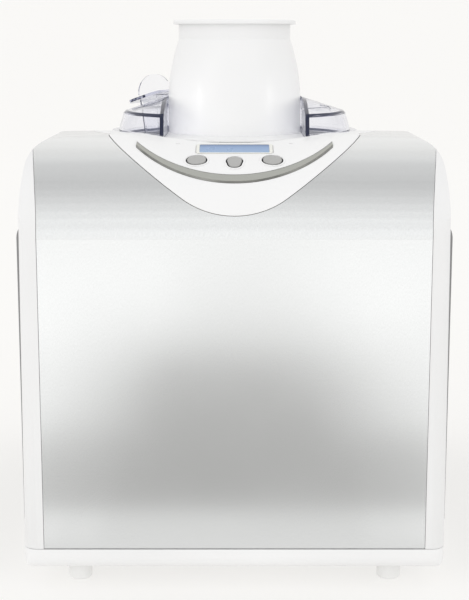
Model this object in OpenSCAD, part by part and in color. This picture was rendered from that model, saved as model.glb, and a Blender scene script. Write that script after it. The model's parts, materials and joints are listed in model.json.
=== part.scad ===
// Self-refrigerating ice cream maker.
// +X is the user's right, -Y is the front, +Z is up. The origin is on the worktop, under the middle.

/* [Casing] */
// Half of the casing's width at the top of its sides
half_w = 137.7; // [136:0.1:139]
// Half of the casing's width at the base, which is wider by its draft
half_w_base = 140.3; // [139.5:0.1:141]
// Depth of the casing
body_d = 400; // [396:1:404]
// Height of the casing's underside above the worktop
base_z = 14; // [13:0.5:15]
// Height at which the front face starts to curve back
curve_z = 236; // [234:1:238]
// Height of the highest line of the roof
crest_z = 299; // [298:0.5:300]
// Distance of that line behind the front face
crest_back = 105; // [103:1:107]
// Fall of the roof behind the crest, in degrees
roof_slope = 5; // [4.5:0.25:5.5]
// Thickness of the moulded shells
wall = 2.5; // [2:0.1:3]
// Thickness of the steel sheet
sheet = 1.2; // [1:0.1:1.5]
// Gap at the seams between outer panels
seam = 0.35; // [0.3:0.05:0.5]
// Half of the steel sheet's width on the front face
steel_half_w = 126.5; // [125:0.5:128]
// Height of the seam between the base and the side shells
base_seam_z = 28.7; // [28:0.1:30]

/* [Side grilles] */
// Distance of a grille's outer face from the middle
grille_x = 145.5; // [144.5:0.1:146.5]
// Height of one louvre and one slot together
louvre_pitch = 9; // [8:0.5:11]
// Height of a slot
slot_h = 3.6; // [3:0.1:4]

/* [Bowl] */
// Distance of the bowl's axis in front of the casing's middle
bowl_front = 45; // [44:1:46]
// Inner radius of the removable bowl
bowl_r = 70; // [68:1:71]
// Height of the removable bowl's floor
bowl_floor_z = 155; // [150:1:160]
// Wall of the removable bowl
bowl_wall = 1.2; // [1:0.1:1.5]

/* [Lid] */
// Height of the flat deck that the lid stands on
deck_z = 293.4; // [293:0.1:293.8]
// Radius of the lid's flange
lid_r = 90; // [89:0.5:91]
// Half width of the lid's notch for the motor unit
notch_r = 49; // [48.9:0.1:49.5]
// Thickness of the lid's walls
lid_wall = 2.5; // [2:0.1:3]
// Direction of the refill chute round the bowl's axis, in degrees
chute_turn = 155; // [150:1:160]

/* [Motor unit] */
// Radius of the motor unit's tower at its foot
tower_r = 48.6; // [48:0.1:48.6]
// Radius of its neck
neck_r = 41; // [40:0.5:42]
// Overall height
top_z = 375.8; // [374:0.1:378]
// Module of the gears
gear_module = 0.8; // [0.8:0.1:0.9]
// Teeth of the output gear, a multiple of the small idler teeth
output_teeth = 54; // [54:18:54]

/* [Hidden] */
$fn = 96;
e = 0.01;

// Colours
steel_c = [0.80, 0.80, 0.79];
white_c = [0.94, 0.94, 0.93];
grey_c = [0.66, 0.66, 0.66];
clear_c = [0.85, 0.86, 0.93, 0.45];
dark_c = [0.12, 0.12, 0.13];
copper_c = [0.78, 0.45, 0.28];
alu_c = [0.82, 0.82, 0.84];
board_c = [0.10, 0.35, 0.22];

// Casing outline: a small front arc runs into a wide crest arc, and the roof falls straight behind it
front_y = -body_d / 2;
back_y = body_d / 2;
join_a = 35;
arc_d = crest_back;
arc_h = crest_z - curve_z;
join_s = sin(join_a);
join_c = cos(join_a);
crest_r = (arc_h * (1 - join_s) - arc_d * join_c) / ((1 - join_c) * (1 - join_s) - join_s * join_c);
front_r = (arc_d - crest_r * join_s) / (1 - join_s);
arc1 = [front_y + front_r, curve_z];
join_p = [arc1[0] - front_r * join_s, arc1[1] + front_r * join_c];
arc2 = [join_p[0] + crest_r * join_s, join_p[1] - crest_r * join_c];
base_corner_r = 9;
rear_top_r = 16;

// Front outline: a slightly crowned roof runs into the sides through small arcs
crown_r = 2500;
shoulder_r = 15;
shoulder_x = half_w - shoulder_r;
crown_z = crest_z - crown_r;
shoulder_z = crown_z + sqrt(pow(crown_r - shoulder_r, 2) - pow(shoulder_x, 2));

// Plan outline
front_corner_r = 9;
back_corner_r = 20;

// Steel sheet's edge: it flares out over the roof
flare_z = 245;
flare_r = 129;

// Deck and bib
axis_y = -bowl_front;
ring_r = 104;
bib_tip_r = 60;
bib_tip_z = 251.3;
bib_a = 34.2;
recess_r = lid_r + 1.5;
skirt_z = 280;
deck_hole_r = 76.2;
deck_t = 3;

// Controls on the bib
lcd_y = front_y + 53.8;
button_y = front_y + 38.7;
middle_y = front_y + 36.4;
mark_y = front_y + 62.2;
mark_x = 38.1;
button_x = 25;
button_turn = 14;
button_top = 0.6;
button_gap = 0.9;
button_h = 4.4;
board_drop = 9;
switch_h = 2.8;
board_t = 1.6;

// Chrome trim, a thin crescent on the bib
trim_low_z = 270.7;
trim_low_r = 117.5;
trim_high_z = 275.5;
trim_high_r = 127.5;
trim_half_w = 66;
trim_edge = 1.3;

// Chilling well and its surroundings
well_r = bowl_r + bowl_wall + 1.3;
well_t = 1.5;
well_floor_z = bowl_floor_z - bowl_wall - 1;
well_rim_z = deck_z - deck_t - 1.5;
coil_tube_r = 3;
coil_r = well_r + well_t + coil_tube_r + 0.05;
foam_r = 108;
foam_low_z = 118;
foam_step_z = 262;
foam_top_z = 275;

// Removable bowl
bowl_rim_z = well_rim_z + 1.7;
bowl_rim_r = 75.6;
spigot_r = 5;
spigot_top_z = bowl_floor_z + 30;
handle_r = 66;
handle_z = bowl_rim_z - 5;

// Lid
lid_low_z = deck_z + 0.2;
flange_z = 296.8;
lid_rim_z = 309.3;
lid_rim_r = 81.6;
cone_rise = 0.32;
chute_u = [55.5, 71.5];
chute_half = 20;
chute_wall = 1.5;
chute_low_z = 294;
collar_z = 319;
flap_t = 2;
collar_u = 64;
collar_tilt = 18;
flap_x = [-12.6, 14.6];
flap_half = 23;
hinge_w = -26.4;
hinge_h = 1.6;
hinge_pin_r = 1.5;
hinge_lug = 3;
lug_x = [-6.5, 3.5];

// Motor unit
tongue_t = 1.2;
tower_low_z = deck_z + 0.3 + tongue_t;
tower_arc_z = 316;
tower_arc_r = 140;
neck_z = 362;
cap_t = 3;
cap_r = 44.5;
tower_wall = 2.4;
plug_y = axis_y - 86;
plug_w = 21;
plug_d = 4.4;

// Gears
idler_small = 12;
idler_large = 36;
pinion_teeth = 10;
idler_x = gear_module * (output_teeth + idler_small) / 2;
pinion_x = idler_x - gear_module * (idler_large + pinion_teeth) / 2;
low_gear_z = 303;
low_gear_h = 5;
high_gear_z = 309.5;
high_gear_h = 4.5;
plate_z = 316;
plate_t = 2;
base_floor_t = 3;
base_floor_z = deck_z + 0.3 + base_floor_t;
bush_r = 9;
shaft_r = 5;
shaft_low_z = 274;
shaft_hex_z = 286;

// Machinery space
floor_z = base_z + 3;
compressor_at = [68, 130];
compressor_r = 53;
compressor_h = 128;
compressor_lift = 11;
foot_x = 105.5;
foot_ring_y = [-175, 168];
base_screw_x = 128;
base_screw_y = [-150, 60, 160];
rear_screw_x = 112;
rear_screw_z = [50, 140, 250];
post_x = 44;
post_y = [-154, -72];
post_h = 10;
fan_at = [-97.2, 127, 95];
fan_r = 41;
strut_x = -92;
gland_at = [-90, 54];
gland_bore_r = 3.6;
gland_len = 14;
gland_r = 8.2;
tube_x = -117.5;
tube_front_y = 73;
tube_back_y = 183.8;
tube_low_z = 46;
tube_high_z = 146;
tube_bend_r = 10;
pipe_bend = 6;

// ---------------------------------------------------------------- outlines

function on_crest(y) = arc2[1] + sqrt(pow(crest_r, 2) - pow(y - arc2[0], 2));
function tilt_at(y) = asin((arc2[0] - y) / crest_r);

// Y-Z outline of the casing, inset by t
module side_outline(t) {
    fr = front_r - t;
    cr = crest_r - t;
    join = [arc1[0] - fr * join_s, arc1[1] + fr * join_c];
    roof = [arc2[0] + cr * sin(roof_slope), arc2[1] + cr * cos(roof_slope)];
    back = back_y - t;
    rr = rear_top_r - t;
    // Centre of the rear top corner, tangent to the roof and to the back
    rc_y = back - rr;
    rc_z = roof[1] - (rc_y - roof[0]) * tan(roof_slope) - rr / cos(roof_slope);
    br = base_corner_r - t;
    low = base_z + t;
    // The crest's sector, with both its straight edges inside the rest of the outline
    crest_end = roof_slope + 4;
    inner_p = [arc2[0], arc2[1] + 100];
    translate(arc1) circle(r = fr, $fn = 144);
    intersection() {
        translate(arc2) circle(r = cr, $fn = 360);
        polygon([arc2, arc2 + 2 * (join - arc2), arc2 + [0, 2 * cr],
                 arc2 + 2 * cr * [sin(crest_end), cos(crest_end)]]);
    }
    polygon([
        [front_y + t + br, low], [back - br, low], [back - br, low + br], [back, low + br],
        [back, rc_z], [rc_y, rc_z], [rc_y + rr * sin(roof_slope), rc_z + rr * cos(roof_slope)],
        roof, inner_p, [front_y + t, curve_z], [front_y + t, low + br], [front_y + t + br, low + br]
    ]);
    translate([rc_y, rc_z]) circle(r = rr);
    for (y = [front_y + t + br, back - br]) translate([y, low + br]) circle(r = br);
}

// X-Z outline of the casing, inset by t
module front_outline(t) {
    sr = shoulder_r - t;
    cr = crown_r - t;
    tx = shoulder_x * cr / (cr - sr);
    tz = crown_z + (shoulder_z - crown_z) * cr / (cr - sr);
    br = base_corner_r - t;
    low = base_z + t;
    bx = half_w_base - t - br;
    for (s = [-1, 1]) {
        translate([s * shoulder_x, shoulder_z]) circle(r = sr);
        translate([s * bx, low + br]) circle(r = br);
    }
    polygon([
        [-bx, low], [bx, low], [bx, low + br], [bx + br, low + br], [half_w - t, shoulder_z],
        [shoulder_x, shoulder_z], [tx, tz], [-tx, tz], [-shoulder_x, shoulder_z],
        [t - half_w, shoulder_z], [-bx - br, low + br], [-bx, low + br]
    ]);
    intersection() {
        translate([0, crown_z]) circle(r = cr, $fn = 1080);
        translate([-tx, tz - 40]) square([2 * tx, 80]);
    }
}

// X-Y outline of the casing, inset by t
module plan_outline(t) {
    x = half_w_base - t;
    y0 = front_y + t;
    y1 = back_y - t;
    f = front_corner_r - t;
    b = back_corner_r - t;
    for (s = [-1, 1]) {
        translate([s * (x - f), y0 + f]) circle(r = f);
        translate([s * (x - b), y1 - b]) circle(r = b);
    }
    polygon([
        [f - x, y0], [x - f, y0], [x - f, y0 + f], [x, y0 + f], [x, y1 - b], [x - b, y1 - b],
        [x - b, y1], [b - x, y1], [b - x, y1 - b], [-x, y1 - b], [-x, y0 + f], [f - x, y0 + f]
    ]);
}

module along_x(x0, x1) translate([x0, 0, 0]) rotate([90, 0, 90]) linear_extrude(x1 - x0) children();
module along_y(y0, y1) translate([0, y1, 0]) rotate([90, 0, 0]) linear_extrude(y1 - y0) children();
module block(x0, x1, y0, y1, z0, z1) translate([x0, y0, z0]) cube([x1 - x0, y1 - y0, z1 - z0]);

// The casing's solid form, inset by t
module casing(t) {
    intersection() {
        along_x(-150, 150) side_outline(t);
        along_y(-210, 210) front_outline(t);
        linear_extrude(320) plan_outline(t);
    }
}

module skin(outer, inner) difference() { casing(outer); casing(inner); }

// X-Z region of the steel sheet, grown by g at its sides
module steel_region(g) {
    difference() {
        translate([-half_w_base, 0]) square([2 * half_w_base, 340]);
        for (s = [-1, 1]) {
            translate([s * (steel_half_w + g + flare_r), flare_z]) circle(r = flare_r, $fn = 360);
            translate([s > 0 ? steel_half_w + g : -steel_half_w - g - 40, -1]) square([40, flare_z + 1]);
            translate([s > 0 ? half_w - 1.5 + g : -half_w + 1.5 - g - 20, flare_z]) square([20, 90]);
        }
    }
}

// X-Z region of the bib that hangs from the deck, grown by g
module bib_region(g) {
    r = bib_tip_r + g;
    c = bib_tip_z + bib_tip_r;
    tx = r * sin(bib_a);
    tz = c - r * cos(bib_a);
    reach = 70;
    translate([0, c]) circle(r = r);
    polygon([
        [-tx, tz], [0, c], [tx, tz], [tx + reach, tz + reach * tan(bib_a)],
        [-tx - reach, tz + reach * tan(bib_a)]
    ]);
}

// The parts of the roof and front that belong to the deck, grown by g
module ring_zone(g) translate([0, axis_y, 240]) cylinder(r = ring_r + g, h = 100);
module bib_zone(g) along_y(front_y - 5, axis_y - 60) bib_region(g);

module at_bowl() translate([0, axis_y, 0]) children();
module on_bib(y) translate([0, y, on_crest(y)]) rotate([tilt_at(y), 0, 0]) children();

module rounded_box(x, y, h, r) {
    linear_extrude(h) {
        square([x - 2 * r, y], center = true);
        square([x, y - 2 * r], center = true);
        for (sx = [-1, 1], sy = [-1, 1]) translate([sx * (x / 2 - r), sy * (y / 2 - r)]) circle(r = r);
    }
}

function unit(v) = v / norm(v);

// A pipe of straight runs along the axes, with quarter bends of radius bend
module pipe(points, r, bend) {
    last = len(points) - 1;
    for (i = [0:last - 1]) {
        d = unit(points[i + 1] - points[i]);
        start = points[i] + (i == 0 ? 0 : bend) * d;
        end = points[i + 1] - (i == last - 1 ? 0 : bend) * d;
        translate(start) rotate([0, acos(d[2]), atan2(d[1], d[0])])
            cylinder(r = r, h = norm(end - start), $fn = 24);
    }
    for (i = [1:last - 1]) {
        a = unit(points[i] - points[i - 1]);
        b = unit(points[i + 1] - points[i]);
        c = points[i] + bend * (b - a);
        n = cross(a, b);
        multmatrix([
            [-b[0], a[0], n[0], c[0]],
            [-b[1], a[1], n[1], c[1]],
            [-b[2], a[2], n[2], c[2]],
            [0, 0, 0, 1]
        ]) rotate_extrude(angle = 90, $fn = 48) translate([bend, 0]) circle(r = r, $fn = 24);
    }
}

// ---------------------------------------------------------------- casing

module base_tray() {
    color(white_c) difference() {
        union() {
            intersection() {
                skin(0, wall + 0.5);
                block(-150, 150, -210, 210, 0, base_seam_z - seam);
            }
            // Locating rib that stands inside the shells
            intersection() {
                skin(wall + 0.3, wall + 2.3);
                block(-150, 150, -210, 210, floor_z + 3, base_seam_z + 4);
            }
            // Screw posts for the shells
            for (sx = [-1, 1], y = base_screw_y)
                translate([sx * base_screw_x, y, base_z]) cylinder(r = 5, h = 14);
            // Posts for the power board
            for (sx = [-1, 1], y = post_y) translate([sx * post_x, y, base_z]) cylinder(r = 4, h = post_h);
        }
        // Air slots under the condenser
        for (x = [-100:12:-40], y = [90, 128]) block(x, x + 5, y, y + 28, base_z - 1, base_z + 5);
        // Screw holes
        for (sx = [-1, 1], y = base_screw_y) translate([sx * base_screw_x, y, base_z - 1])
            cylinder(r = 3.6, h = 4);
    }
}

module foot() {
    rotate_extrude() {
        square([6, base_z]);
        translate([0, 2]) square([8, base_z - 2]);
        translate([6, 2]) circle(r = 2, $fn = 32);
    }
}

module feet() {
    color([0.86, 0.86, 0.85])
        for (sx = [-1, 1], y = foot_ring_y) translate([sx * foot_x, y, 0]) foot();
}

module side_shell(s) {
    color(white_c) difference() {
        intersection() {
            union() {
                intersection() {
                    casing(0);
                    difference() {
                        block(-150, 150, -210, 210, 0, 320);
                        along_y(-215, 215) steel_region(seam);
                    }
                }
                // Ledge under the edge of the steel sheet
                intersection() {
                    casing(sheet + 0.15);
                    difference() {
                        block(-150, 150, -210, 210, 0, 320);
                        along_y(-216, 216) steel_region(-7);
                    }
                }
            }
            block(s > 0 ? 1 : -150, s > 0 ? 150 : -1, -210, 186, base_seam_z, 320);
        }
        casing(wall);
        // Window behind the grille
        block(s > 0 ? 120 : -150, s > 0 ? 150 : -120, -150, 128, 48, 222);
    }
}

module left_side_shell() side_shell(-1);
module right_side_shell() side_shell(1);

module front_panel() {
    color(steel_c) difference() {
        intersection() {
            skin(0, sheet);
            along_y(-215, 185.6) steel_region(0);
            block(-150, 150, -210, 185.6, base_seam_z + 0.4, 320);
        }
        ring_zone(seam);
        bib_zone(seam);
    }
}

module rear_panel() {
    color(white_c) difference() {
        intersection() {
            skin(0, wall);
            block(-150, 150, 186 + seam, 210, base_seam_z, 320);
        }
        // Louvres
        for (x = [-84:12:84], z = [70, 150]) block(x - 2, x + 2, 190, 210, z, z + 60);
        // Hole for the lead's gland
        translate([gland_at[0], 190, gland_at[1]]) rotate([-90, 0, 0]) cylinder(r = gland_r + 0.2, h = 20);
        // Screw seats
        for (sx = [-1, 1], z = rear_screw_z) translate([sx * rear_screw_x, 190, z]) rotate([-90, 0, 0])
            cylinder(r = 3.2, h = 20);
    }
}

module top_deck() {
    wall_r = recess_r + wall;
    color(white_c) difference() {
        union() {
            intersection() {
                skin(0, wall);
                ring_zone(0);
            }
            intersection() {
                skin(0, wall);
                bib_zone(0);
            }
            // Wall of the recess, up to the crest
            intersection() {
                casing(0);
                at_bowl() translate([0, 0, deck_z - deck_t]) cylinder(r = wall_r, h = 20);
            }
            // Floor and skirt, which stand above the falling roof at the rear
            intersection() {
                at_bowl() translate([0, 0, skirt_z]) cylinder(r = wall_r, h = deck_z - skirt_z);
                block(-150, 150, axis_y - 40, 100, 200, 320);
            }
        }
        at_bowl() {
            translate([0, 0, deck_z]) cylinder(r = recess_r, h = 30);
            translate([0, 0, deck_z - 20]) cylinder(r = deck_hole_r, h = 50);
            translate([0, 0, skirt_z - 20]) cylinder(r = recess_r, h = deck_z - deck_t - skirt_z + 20);
        }
        on_bib(lcd_y) translate([0, 0, -6]) rounded_box(51.8, 15, 12, 2);
        for (s = [-1, 1]) on_bib(button_y) translate([s * button_x, 0, -7])
            rotate(-s * button_turn) linear_extrude(14) side_button_outline(button_gap);
        on_bib(middle_y) translate([0, 0, -7]) linear_extrude(14) middle_button_outline(button_gap);
        // Two shallow marks that show where the lid's flange turns to
        for (s = [-1, 1]) on_bib(mark_y) translate([s * mark_x, 0, -0.8]) rounded_box(3.2, 1.2, 4, 0.5);
        trim_form(0.15, -2, 1.2);
        translate([0, plug_y, deck_z - 10]) rounded_box(plug_w + 1, plug_d + 1, 20, 1);
    }
}

module grille_form(t) {
    r = 22 - t;
    module corners(w, h) {
        square([w - 2 * r, h], center = true);
        square([w, h - 2 * r], center = true);
        for (sx = [-1, 1], sy = [-1, 1]) translate([sx * (w / 2 - r), sy * (h / 2 - r)]) circle(r = r);
    }
    mid = [-14, 135];
    size = [332 - 2 * t, 230 - 2 * t];
    intersection() {
        along_x(100, 160) translate(mid) corners(size[0], size[1]);
        linear_extrude(300) translate([grille_x - t - 60, mid[0]]) corners(120, size[0]);
        along_y(-200, 200) translate([grille_x - t - 60, mid[1]]) corners(120, size[1]);
    }
}

module grille() {
    difference() {
        grille_form(0);
        grille_form(2.2);
        casing(-0.05);
        block(100, half_w - 1, -210, 210, 0, 300);
        for (z = [38:louvre_pitch:232]) block(120, 160, -158, 130, z, z + slot_h);
    }
}

module right_grille() color(grey_c) grille();
module left_grille() color(grey_c) mirror([1, 0, 0]) grille();

module trim_form(g, out, depth) {
    intersection() {
        difference() { casing(out); casing(depth); }
        along_y(front_y - 5, axis_y - 60) intersection() {
            difference() {
                translate([0, trim_low_z + trim_low_r]) circle(r = trim_low_r + g, $fn = 360);
                translate([0, trim_high_z + trim_high_r]) circle(r = trim_high_r - g, $fn = 360);
            }
            translate([-trim_half_w - g, trim_low_z - 5]) square([2 * (trim_half_w + g), 30]);
        }
    }
}

// The trim's lower edge is stepped down
module chrome_trim() color([0.68, 0.68, 0.66]) difference() {
    trim_form(0, -0.7, 1.1);
    intersection() {
        skin(-1.5, -0.1);
        along_y(front_y - 6, axis_y - 59) translate([0, trim_low_z + trim_low_r]) difference() {
            circle(r = trim_low_r + 2, $fn = 360);
            circle(r = trim_low_r - trim_edge, $fn = 360);
        }
    }
}

// ---------------------------------------------------------------- controls

module side_button_outline(g) {
    r = 5.3 + g;
    for (s = [-1, 1]) translate([s * 0.9, 0]) circle(r = r);
    square([1.8, 2 * r], center = true);
}

module middle_button_outline(g) {
    top_r = 4.8 + g;
    low_r = 3.9 + g;
    translate([0, 1.4]) circle(r = top_r);
    translate([0, -2.3]) circle(r = low_r);
    polygon([[-top_r * 0.97, 0.2], [top_r * 0.97, 0.2], [low_r * 0.98, -3.2], [-low_r * 0.98, -3.2]]);
}

module button_cap(middle) {
    translate([0, 0, -button_h]) linear_extrude(button_h + button_top)
        if (middle) middle_button_outline(0); else side_button_outline(0);
    translate([0, 0, -button_h - 0.6]) cylinder(r = 2, h = 2);
}

module button_left() color(grey_c) on_bib(button_y) translate([-button_x, 0, 0])
    rotate(button_turn) button_cap(false);
module button_right() color(grey_c) on_bib(button_y) translate([button_x, 0, 0])
    rotate(-button_turn) button_cap(false);
module button_middle() color(grey_c) on_bib(middle_y) button_cap(true);

module lcd_bezel() {
    color([0.75, 0.76, 0.78]) on_bib(lcd_y) difference() {
        translate([0, 0, -1.6]) rounded_box(51.2, 14.4, 2, 1.8);
        translate([0, 0, -5]) rounded_box(46.6, 13.2, 12, 1);
    }
}

module lcd_window() {
    color([0.59, 0.68, 0.85]) on_bib(lcd_y) translate([0, 0, -1.5]) rounded_box(46.4, 13, 1.6, 0.9);
}

module lcd_module() {
    color(dark_c) on_bib(lcd_y) translate([0, 0, -5.4]) rounded_box(50, 13.8, 3.6, 1);
}

module tact_switches() {
    color(dark_c) {
        for (s = [-1, 1]) on_bib(button_y) translate([s * button_x, 0, -board_drop])
            translate([0, 0, switch_h / 2]) cube([6, 6, switch_h], center = true);
        on_bib(button_y) translate([0, middle_y - button_y, switch_h / 2 - board_drop])
            cube([6, 6, switch_h], center = true);
    }
}

module control_board() {
    color(board_c) on_bib(button_y) translate([0, -1, -board_drop - board_t])
        rounded_box(84, 22, board_t, 1.5);
}

// ---------------------------------------------------------------- bowl and cold side

module chilling_well() {
    color(alu_c) at_bowl() rotate_extrude($fn = 180) {
        translate([well_r, well_floor_z]) square([well_t, well_rim_z - well_floor_z]);
        translate([0, well_floor_z - well_t]) square([well_r + well_t, well_t]);
        translate([well_r, well_rim_z - well_t]) square([80.5 - well_r, well_t]);
    }
}

module well_seal() {
    color([0.55, 0.55, 0.56]) at_bowl() translate([0, 0, well_rim_z]) difference() {
        cylinder(r = 80.5, h = deck_z - deck_t - well_rim_z);
        translate([0, 0, -1]) cylinder(r = 76.8, h = 5);
    }
}

module evaporator_coil() {
    color(copper_c) at_bowl() {
        for (z = [168:12:264]) translate([0, 0, z])
            rotate_extrude($fn = 120) translate([coil_r, 0]) circle(r = coil_tube_r, $fn = 20);
        translate([0, coil_r, 165]) cylinder(r = coil_tube_r - 0.4, h = 102, $fn = 20);
    }
}

module insulation() {
    inner_r = coil_r + coil_tube_r + 0.3;
    color([0.93, 0.88, 0.70]) at_bowl() difference() {
        union() {
            translate([0, 0, foam_low_z]) cylinder(r = foam_r, h = foam_step_z - foam_low_z);
            translate([0, 0, foam_step_z]) cylinder(r = 95, h = foam_top_z - foam_step_z);
        }
        translate([0, 0, well_floor_z - well_t - 0.2]) cylinder(r = inner_r, h = 200);
    }
}

module bowl_support() {
    color([0.75, 0.76, 0.78]) at_bowl() {
        translate([0, 0, foam_low_z - 3]) cylinder(r = 100, h = 3);
        for (sx = [-1, 1], sy = [-1, 1]) translate([sx * 62 - 5, sy * 62 - 5, floor_z + 0.05])
            cube([10, 10, foam_low_z - 3 - floor_z]);
    }
}

module removable_bowl() {
    color(alu_c) at_bowl() {
        rotate_extrude($fn = 180) {
            translate([bowl_r, bowl_floor_z]) square([bowl_wall, bowl_rim_z - bowl_floor_z]);
            translate([0, bowl_floor_z - bowl_wall]) square([bowl_r + bowl_wall, bowl_wall]);
            translate([bowl_r, bowl_rim_z - 1.6]) square([bowl_rim_r - bowl_r, 1.6]);
        }
        translate([0, 0, bowl_floor_z - 0.1]) cylinder(r = spigot_r, h = spigot_top_z - bowl_floor_z + 0.1);
    }
}

// Bail folded down just inside the bowl's rim, over its rear half
module bowl_handle() {
    color([0.80, 0.80, 0.80]) at_bowl() translate([0, 0, handle_z]) {
        intersection() {
            rotate_extrude($fn = 120) translate([handle_r, 0]) circle(r = 1.6, $fn = 20);
            translate([-80, 0, -5]) cube([160, 80, 10]);
        }
        for (s = [-1, 1]) translate([s * (handle_r + 1), 0, 0]) rotate([0, 90, 0])
            cylinder(r = 1.6, h = 5.6, center = true, $fn = 20);
    }
}

module mixing_paddle() {
    hub_r = 9;
    low = bowl_floor_z + 1.2;
    high = 276;
    blade_r = bowl_r - 1.6;
    color(white_c) at_bowl() difference() {
        union() {
            translate([0, 0, low]) cylinder(r = hub_r, h = 283 - low);
            // Scraper along the floor, side blades up the wall and two cross arms
            for (turn = [0, 180]) rotate([0, 0, turn]) {
                block(0, blade_r, -2, 2, low, low + 16);
                block(blade_r - 16, blade_r, -2, 2, low, high - 18);
                block(0, blade_r - 2, -2, 2, 205, 217);
                translate([blade_r - 8, 0, low + 10]) rotate([0, 0, 24])
                    block(-12, 4.2, -1.5, 1.5, 0, 80);
            }
        }
        translate([0, 0, low - 1]) cylinder(r = spigot_r + 0.06, h = spigot_top_z - low + 1.6);
        translate([0, 0, 272.5]) cylinder(r = 4.9, h = 20, $fn = 6);
    }
}

// ---------------------------------------------------------------- lid

module notch_outline(r) {
    circle(r = r);
    translate([-r, -120]) square([2 * r, 120]);
}

// Frame of the refill chute: X points out from the axis, Y towards the front left
module at_chute() at_bowl() rotate([0, 0, chute_turn]) children();

module lid_section(t) {
    rim = lid_rim_r - t;
    polygon([
        [0, lid_low_z - (t > 0 ? 1 : 0)], [t > 0 ? lid_r - 11 : lid_r, lid_low_z - (t > 0 ? 1 : 0)],
        [t > 0 ? lid_r - 11 : lid_r, flange_z], [85.2 - t, flange_z], [rim, lid_rim_z - t * 0.4],
        [rim - 1.6, lid_rim_z + 1.7 - t], [0, lid_rim_z + 1.7 - t + (rim - 1.6) * cone_rise]
    ]);
}

module chute_form(t, z0, z1) {
    u = (chute_u[0] + chute_u[1]) / 2;
    w = chute_u[1] - chute_u[0] - 2 * t;
    translate([u, 0, z0]) hull() {
        translate([0, 0, z1 - z0 - 0.1]) rounded_box(w, 2 * chute_half - 2 * t, 0.1, 4 - t, $fn = 32);
        translate([-1.5, 0, 0]) rounded_box(w - 4, 2 * chute_half - 2 * t - 6, 0.1, 4 - t, $fn = 32);
    }
}

// Frame of the chute's sloping collar: Z stands square on it, X points down its slope
module at_collar() at_chute() translate([collar_u, 0, collar_z]) rotate([0, collar_tilt, 0]) children();

module lid() {
    color(clear_c) difference() {
        difference() {
            at_bowl() rotate_extrude($fn = 180) lid_section(0);
            difference() {
                at_bowl() rotate_extrude($fn = 180) lid_section(lid_wall);
                at_bowl() translate([0, 0, 280]) linear_extrude(60) notch_outline(notch_r + lid_wall);
            }
        }
        at_bowl() translate([0, 0, 280]) linear_extrude(60) notch_outline(notch_r);
        at_chute() chute_form(-0.1, chute_low_z - 2, collar_z + 8);
        // Groove for the gasket
        at_bowl() translate([0, 0, lid_low_z - 1]) difference() {
            cylinder(r = 88.2, h = 2.6);
            translate([0, 0, -1]) cylinder(r = 85.2, h = 5);
        }
    }
}

module refill_chute() {
    color(clear_c) difference() {
        union() {
            difference() {
                at_chute() chute_form(0, chute_low_z, collar_z + 8);
                at_collar() block(-40, 40, -40, 40, 0, 40);
            }
            // Lugs that carry the flap's pin
            at_collar() for (x = lug_x) {
                block(x, x + hinge_lug, hinge_w - 3, 2.5 - chute_half, hinge_h - 4.5, 0);
                block(x, x + hinge_lug, hinge_w - 3, hinge_w + 3, hinge_h - 4.5, hinge_h);
                translate([x, hinge_w, hinge_h]) rotate([0, 90, 0]) cylinder(r = 3, h = hinge_lug);
            }
        }
        at_chute() chute_form(chute_wall, chute_low_z - 1, collar_z + 9);
        at_collar() translate([-30, hinge_w, hinge_h]) rotate([0, 90, 0])
            cylinder(r = hinge_pin_r, h = 60, $fn = 32);
    }
}

module lid_gasket() {
    color([0.80, 0.80, 0.82]) at_bowl() intersection() {
        translate([0, 0, deck_z + 0.02]) difference() {
            cylinder(r = 88, h = 1.7);
            translate([0, 0, -1]) cylinder(r = 85.4, h = 5);
        }
        difference() {
            block(-100, 100, -100, 100, 280, 300);
            translate([0, 0, 279]) linear_extrude(60) notch_outline(notch_r + 0.6);
        }
    }
}

module flap_pin() {
    x0 = lug_x[0] - 1;
    x1 = lug_x[1] + hinge_lug + 1;
    color(steel_c) at_collar() translate([x0, hinge_w, hinge_h]) rotate([0, 90, 0])
        cylinder(r = hinge_pin_r - 0.02, h = x1 - x0, $fn = 32);
}

module refill_flap() {
    x = (flap_x[0] + flap_x[1]) / 2;
    x0 = lug_x[0] + hinge_lug + 0.6;
    x1 = lug_x[1] - 0.6;
    low = 0.3;
    color(clear_c) at_collar() difference() {
        union() {
            translate([x, 0, low]) rounded_box(flap_x[1] - flap_x[0], 2 * flap_half, flap_t, 7);
            // Arm and knuckle round the pin
            block(x0, x1, hinge_w, 6 - flap_half, low, low + flap_t);
            translate([x0, hinge_w, hinge_h]) rotate([0, 90, 0]) cylinder(r = 3, h = x1 - x0);
            // Finger grip: a thin disc, cut off by the flap
            intersection() {
                translate([1, 1, low + 3.5]) rotate([90, 0, 0]) cylinder(r = 14, h = 2);
                block(-40, 40, -10, 10, low + 1, low + 40);
            }
        }
        translate([-30, hinge_w, hinge_h]) rotate([0, 90, 0])
            cylinder(r = hinge_pin_r + 0.05, h = 60, $fn = 32);
    }
}

// ---------------------------------------------------------------- motor unit

module motor_base() {
    low = deck_z + 0.3;
    color(white_c) difference() {
        at_bowl() {
            translate([0, 0, low]) linear_extrude(tongue_t) intersection() {
                notch_outline(tower_r);
                circle(r = lid_r - 0.2);
            }
            translate([0, 0, low]) cylinder(r = tower_r - tower_wall - 0.4, h = 6);
        }
        at_bowl() translate([0, 0, low - 1]) cylinder(r = bush_r, h = 12);
        // Room for the gear train above the floor plate
        at_bowl() translate([0, 0, low + base_floor_t]) cylinder(r = tower_r - tower_wall - 3, h = 10);
    }
}

// The tower's side is a true arc of revolution between its straight foot and its neck
module motor_housing() {
    color(white_c) at_bowl() difference() {
        rotate_extrude($fn = 180) tower_outline(0);
        rotate_extrude($fn = 180) translate([0, -e]) tower_outline(tower_wall);
        translate([0, 0, top_z - cap_t - 5]) cylinder(r = neck_r - tower_wall, h = 20);
    }
}

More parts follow.
